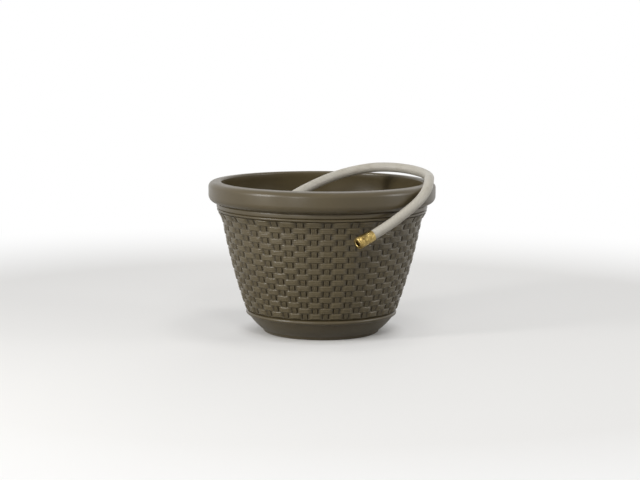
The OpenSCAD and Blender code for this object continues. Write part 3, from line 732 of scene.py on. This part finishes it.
stacks = {
    "ferrule_outlet": (ferrule_stack(), OUTLET_END, OUTLET_DIR, "outlet_ferrule"),
    "thread_outlet": (turned(outlet_profile, BRASS_SIDES, outlet_relief), OUTLET_END, OUTLET_DIR,
                      "outlet_coupling"),
    "ferrule_inlet": (ferrule_stack(), INLET_END, INLET_DIR, "inlet_ferrule"),
    "tailpiece_inlet": (turned(tailpiece_profile), INLET_END, INLET_DIR, "inlet_tailpiece"),
    "nut_inlet": (nut_stack(), INLET_END, INLET_DIR, "swivel_nut"),
    "washer_inlet": (turned(washer_profile), INLET_END, INLET_DIR, "sealing_washer")}
fittings = {name: ring_piece(name, laid(stack, at, way), closed=True)
            for name, (stack, at, way, _) in stacks.items()}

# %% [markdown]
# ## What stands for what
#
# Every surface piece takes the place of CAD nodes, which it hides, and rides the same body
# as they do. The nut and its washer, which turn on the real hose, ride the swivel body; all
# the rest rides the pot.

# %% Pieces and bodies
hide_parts("pot_body")
for piece in weave:
    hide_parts("basket_weave")
for name, (_, _, _, node) in stacks.items():
    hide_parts(node)
    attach(fittings[name], "swivel" if name in ("nut_inlet", "washer_inlet") else "pot")
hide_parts("hose_coil", "hose_run")
for piece in [pot, hose, *weave]:
    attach(piece, "pot")

# %% [markdown]
# ## Materials
#
# Four real materials make the object: polypropylene, vinyl, brass and rubber. Their patterns
# are computed from noise in real millimetres, and not painted, so they stay sharp at any
# distance and need no picture file.

# %% Material helpers
def linear(code):
    """A colour from its sRGB hex code: c / 12.92 up to 0.04045, else ((c + 0.055) / 1.055)^2.4."""
    c = np.array([int(code[i:i + 2], 16) for i in (1, 3, 5)]) / 255
    return (*np.where(c <= 0.04045, c / 12.92, ((c + 0.055) / 1.055) ** 2.4), 1.0)


def add(tree, kind, inputs, **settings):
    """Adds a node of any kind, sets its properties, and gives its inputs values or links."""
    new = tree.nodes.new("ShaderNode" + kind)
    for name, value in settings.items():
        setattr(new, name, value)
    for name, value in inputs.items():
        if isinstance(value, bpy.types.NodeSocket):
            tree.links.new(value, new.inputs[name])
        else:
            new.inputs[name].default_value = value
    return new


def painted(name, pieces, **values):
    """A new material on the pieces, with these uniform values on its shader's sockets."""
    made = bpy.data.materials.new(name)
    made.use_nodes = True
    shader = made.node_tree.nodes["Principled BSDF"]
    for socket, value in values.items():
        shader.inputs[socket.replace("_", " ")].default_value = value
    for piece in pieces:
        piece.data.materials.clear()
        piece.data.materials.append(made)
    return made.node_tree, shader


print("mid grey in linear light", round(linear("#808080")[0], 3))

# %% [markdown]
# The pot is polypropylene, coloured through and injection moulded in a spark-eroded tool,
# which gives it a satin skin with a fine grain. One flat colour would look unreal, so colour
# and gloss drift over patches of 60 mm, and splashed soil dulls the lowest 70 mm. On the
# weave the colour also darkens by the stored relief: a painted shade in the joints and on
# the low ends of the straps.

# %% The resin
MOTTLE, SPECK, GRAIN, SPLASH_H = 60 * MM, 8 * MM, 1 * MM, 70 * MM


def finish_resin(tree, shader, base, dark, painted_recess_shade=None):
    """Links colour, gloss and grain to the shader: base mixed with dark by the mottling, with
    the recess colour by the relief, which is painted shade in the joints and low parts, and
    with dust near the ground. The tool's real grain is about 0.2 mm wide and too fine to
    show, so it's drawn 1 mm wide."""
    where = add(tree, "TexCoord", {}).outputs["Object"]
    mottle = add(tree, "TexNoise", {"Vector": where, "Scale": 1 / MOTTLE, "Detail": 5,
                                    "Roughness": 0.6}).outputs[0]
    colour = add(tree, "Mix", {0: mottle, 6: linear(dark), 7: linear(base)},
                 data_type="RGBA").outputs[2]
    # Painted shade: the colour darkens towards the recess colour where the relief is low, in the
    # joints and on the low ends of the straps.
    if painted_recess_shade:
        relief = add(tree, "Attribute", {}, attribute_name="relief").outputs["Fac"]
        height = add(tree, "MapRange", {"Value": relief, "From Min": 0.0, "From Max": 0.85},
                     interpolation_type="SMOOTHSTEP").outputs[0]
        colour = add(tree, "Mix", {0: height, 6: linear(painted_recess_shade), 7: colour},
                     data_type="RGBA").outputs[2]
    z = add(tree, "SeparateXYZ", {"Vector": where}).outputs["Z"]
    low = add(tree, "MapRange", {"Value": z, "From Min": SPLASH_H, "From Max": 0.0,
                                 "To Max": 0.22}).outputs[0]
    speck = add(tree, "TexNoise", {"Vector": where, "Scale": 1 / SPECK, "Detail": 6,
                                   "Roughness": 0.7}).outputs[0]
    dust = add(tree, "Math", {0: low, 1: speck}, operation="MULTIPLY").outputs[0]
    colour = add(tree, "Mix", {0: dust, 6: colour, 7: linear("#8d8371")},
                 data_type="RGBA").outputs[2]
    gloss = add(tree, "MapRange", {"Value": mottle, "From Min": 0.3, "From Max": 0.7,
                                   "To Min": 0.3, "To Max": 0.4}).outputs[0]
    grain = add(tree, "TexNoise", {"Vector": where, "Scale": 1 / GRAIN, "Detail": 2}).outputs[0]
    bump = add(tree, "Bump", {"Height": grain, "Strength": 0.35,
                              "Distance": 0.04 * MM}).outputs[0]
    tree.links.new(colour, shader.inputs["Base Color"])
    tree.links.new(gloss, shader.inputs["Roughness"])
    tree.links.new(bump, shader.inputs["Normal"])


tree, shader = painted("injection_moulded_polypropylene", [pot], IOR=1.49)
finish_resin(tree, shader, "#594e36", "#4f452f")
tree, shader = painted("injection_moulded_polypropylene_weave", weave, IOR=1.49)
# The weave's darkest colour is painted shade in its joints and low parts.
finish_resin(tree, shader, "#63583e", "#584d35", painted_recess_shade="#2a2110")
print("resin on", 1 + len(weave), "pieces")

# %% [markdown]
# The hose is extruded vinyl: a soft sheen, a faint spiral of the yarn under its skin, and
# scuffs from the ground. The spiral has to follow every bend, so it is drawn on the UV map,
# and the scuffs on the plain place in space. A wave texture of scale s has 10 s / (2 pi)
# bands in a metre. Its scale lays a whole number of bands round the hose, so the spiral meets
# itself at the map's seam.

# %% The vinyl
YARN_BANDS, SCUFF = 16, 30 * MM

tree, shader = painted("extruded_vinyl_hose", [hose], IOR=1.53)
along = add(tree, "UVMap", {}, uv_map="along").outputs["UV"]
where = add(tree, "TexCoord", {}).outputs["Object"]
yarn = add(tree, "TexWave", {"Vector": along, "Scale": YARN_BANDS / (10 * HOSE_R * MM),
                             "Distortion": 0.0}, bands_direction="DIAGONAL").outputs[1]
scuff = add(tree, "TexNoise", {"Vector": where, "Scale": 1 / SCUFF, "Detail": 6,
                               "Roughness": 0.7}).outputs[0]
worn = add(tree, "MapRange", {"Value": scuff, "From Min": 0.52, "From Max": 0.75,
                              "To Max": 0.5}).outputs[0]
vinyl = add(tree, "Mix", {0: yarn, 6: linear("#b3ada0"), 7: linear("#cac5b9")},
            data_type="RGBA").outputs[2]
vinyl = add(tree, "Mix", {0: worn, 6: vinyl, 7: linear("#9c9381")}, data_type="RGBA").outputs[2]
sheen = add(tree, "MapRange", {"Value": scuff, "To Min": 0.34, "To Max": 0.52}).outputs[0]
ridge = add(tree, "Bump", {"Height": yarn, "Strength": 0.5, "Distance": 0.3 * MM}).outputs[0]
tree.links.new(vinyl, shader.inputs["Base Color"])
tree.links.new(sheen, shader.inputs["Roughness"])
tree.links.new(ridge, shader.inputs["Normal"])
print("yarn bands", round(2 * math.pi * HOSE_R / YARN_BANDS, 2), "mm apart")

# %% [markdown]
# The couplings are brass, machined and crimped. Brass left outdoors tarnishes brown in
# patches, and is duller there, so one noise drives both colour and roughness. The washer is
# moulded rubber, matt and nearly black.

# %% The brass and the rubber
# The real turning marks are about 0.1 mm apart and too fine to show. They are drawn as small
# dents, 0.6 mm wide, that only soften the gloss.
PATCH, MARK = 12 * MM, 0.6 * MM

brass = [piece for name, piece in fittings.items() if name != "washer_inlet"]
tree, shader = painted("machined_brass", brass, Metallic=1.0)
where = add(tree, "TexCoord", {}).outputs["Object"]
patch = add(tree, "TexNoise", {"Vector": where, "Scale": 1 / PATCH, "Detail": 4,
                               "Roughness": 0.6}).outputs[0]
tarnish = add(tree, "MapRange", {"Value": patch, "From Min": 0.42, "From Max": 0.7}).outputs[0]
metal = add(tree, "Mix", {0: tarnish, 6: linear("#bea76c"), 7: linear("#755f33")},
            data_type="RGBA").outputs[2]
dull = add(tree, "MapRange", {"Value": tarnish, "To Min": 0.28, "To Max": 0.5}).outputs[0]
mark = add(tree, "TexNoise", {"Vector": where, "Scale": 1 / MARK, "Detail": 2}).outputs[0]
marks = add(tree, "Bump", {"Height": mark, "Strength": 0.25, "Distance": 0.02 * MM}).outputs[0]
tree.links.new(metal, shader.inputs["Base Color"])
tree.links.new(dull, shader.inputs["Roughness"])
tree.links.new(marks, shader.inputs["Normal"])
painted("moulded_epdm_rubber", [fittings["washer_inlet"]], Base_Color=linear("#262524"),
        Roughness=0.7)
print("materials", [m.name for m in bpy.data.materials])

# %% [markdown]
# ## Floor and light
#
# A pale floor and a white surround show the shape with nothing else in view. They are pale
# and white where the camera or a gloss sees them, but darker to all other light, so they
# don't wash out the relief. The floor fades into the white far from the pot. It isn't part
# of the object.

# %% The floor
FLOOR_HALF = 8
bpy.context.scene.view_settings.view_transform = "Standard"


def shown_ray(tree):
    """1 for what the camera sees itself, in a gloss or through glass, and 0 for other rays:
    the largest of Light Path's camera, glossy and transmission values."""
    rays = add(tree, "LightPath", {}).outputs
    mirrored = add(tree, "Math", {0: rays["Is Glossy Ray"], 1: rays["Is Transmission Ray"]},
                   operation="MAXIMUM").outputs[0]
    return add(tree, "Math", {0: rays["Is Camera Ray"], 1: mirrored},
               operation="MAXIMUM").outputs[0]


corners = [(-1, -1), (1, -1), (1, 1), (-1, 1)]
floor_points = [[x * FLOOR_HALF, y * FLOOR_HALF, 0] for x, y in corners]
floor_mesh = bpy.data.meshes.new("floor")
floor_mesh.from_pydata(floor_points, [], [[0, 1, 2, 3]])
floor = bpy.data.objects.new("floor", floor_mesh)
bpy.context.scene.collection.objects.link(floor)
tree, shader = painted("matt_floor", [floor], Roughness=0.9)
shown = shown_ray(tree)
pale = add(tree, "Mix", {0: shown, 6: linear("#7c7a75"), 7: linear("#e4e2de")}, data_type="RGBA")
tree.links.new(pale.outputs[2], shader.inputs["Base Color"])
where = add(tree, "TexCoord", {}).outputs["Object"]
far = add(tree, "VectorMath", {0: where}, operation="LENGTH").outputs["Value"]
# White grows from 0.4 m to 2 m from the pot's middle.
fade = add(tree, "MapRange", {"Value": far, "From Min": 0.4, "From Max": 2.0},
           interpolation_type="SMOOTHSTEP").outputs[0]
fade = add(tree, "Math", {0: fade, 1: shown}, operation="MULTIPLY").outputs[0]
# The camera sees at least 0.4 of white, but none under the pot, where it would show through
# the drain holes. This white fades out from 0.2 m to 0.12 m, so the floor just round the
# foot is darker: a painted contact shadow.
seen = add(tree, "LightPath", {}).outputs["Is Camera Ray"]
clear = add(tree, "MapRange", {"Value": far, "From Min": 0.12, "From Max": 0.2,
                               "To Max": 0.4}).outputs[0]
least = add(tree, "Math", {0: seen, 1: clear}, operation="MULTIPLY").outputs[0]
fade = add(tree, "Math", {0: fade, 1: least}, operation="MAXIMUM").outputs[0]
white = add(tree, "Emission", {"Color": linear("#ffffff"), "Strength": 1.0}).outputs[0]
ground = add(tree, "MixShader", {0: fade, 1: shader.outputs[0], 2: white}).outputs[0]
tree.links.new(ground, tree.nodes["Material Output"].inputs["Surface"])
print("floor", 2 * FLOOR_HALF, "m across")

# %% [markdown]
# The key lamp stands on the left, so that it grazes the weave and one slope of each strap is
# lit and the other dark. A narrow lamp nearer the front draws the upright highlight, and one
# low on the right reaches over the rim and lights the inside. Three weak lamps, over the
# front, overhead and behind, open the shadows. They leave no highlights of their own, which
# would draw a bright line along the lip.

# %% The lamps
LAMPS_AIM = Vector((0, 0, 0.2))


def lamp(name, azimuth, elevation, far, width, height, watts, shines=True):
    """A soft lamp on a circle round the pot, in degrees from the front and over the ground
    and metres from the pot, aimed at its middle. It doesn't show in any view, and one that
    doesn't shine leaves no highlight in a gloss either."""
    light = bpy.data.lights.new(name, "AREA")
    light.shape, light.size, light.size_y, light.energy = "RECTANGLE", width, height, watts
    turn, rise = math.radians(azimuth), math.radians(elevation)
    level = math.cos(rise)
    way = Vector((math.sin(turn) * level, -math.cos(turn) * level, math.sin(rise)))
    facing = way.to_track_quat("Z", "Y").to_matrix().to_4x4()
    made = bpy.data.objects.new(name, light)
    made.matrix_world = Matrix.Translation(LAMPS_AIM + way * far) @ facing
    made.visible_camera = False
    made.visible_glossy = shines
    bpy.context.scene.collection.objects.link(made)


lamp("key", -58, 18, 2.6, 0.35, 0.9, 34)
lamp("front", -24, 12, 2.6, 0.25, 0.8, 9)
lamp("right", 78, 18, 2.6, 0.45, 0.9, 14)
lamp("over", 5, 38, 2.6, 0.6, 0.6, 13, shines=False)
lamp("top", 45, 78, 2.4, 0.7, 0.7, 12, shines=False)
lamp("back", 172, 22, 2.6, 1.0, 1.0, 14, shines=False)
print("lamps", [light.name for light in bpy.data.lights])

# %% [markdown]
# The surround is white where the camera or a gloss sees it. As light it is weak and even,
# and a little stronger from above.

# %% The surround
SKY_LOW, SKY_HIGH = 0.12, 0.2

world = bpy.data.worlds.new("surround")
bpy.context.scene.world = world
world.use_nodes = True
tree = world.node_tree
tree.nodes.clear()
up = add(tree, "SeparateXYZ", {0: add(tree, "TexCoord", {}).outputs["Generated"]}).outputs["Z"]
level = add(tree, "MapRange", {"Value": up, "From Min": -0.1, "From Max": 1.0,
                               "To Min": SKY_LOW, "To Max": SKY_HIGH}).outputs[0]
sky = add(tree, "Background", {"Color": linear("#ffffff"), "Strength": level}).outputs[0]
white = add(tree, "Background", {"Color": linear("#ffffff"), "Strength": 1.0}).outputs[0]
seen = add(tree, "MixShader", {0: shown_ray(tree), 1: sky, 2: white}).outputs[0]
add(tree, "OutputWorld", {"Surface": seen})
print("surround, as light, from", SKY_LOW, "to", SKY_HIGH)
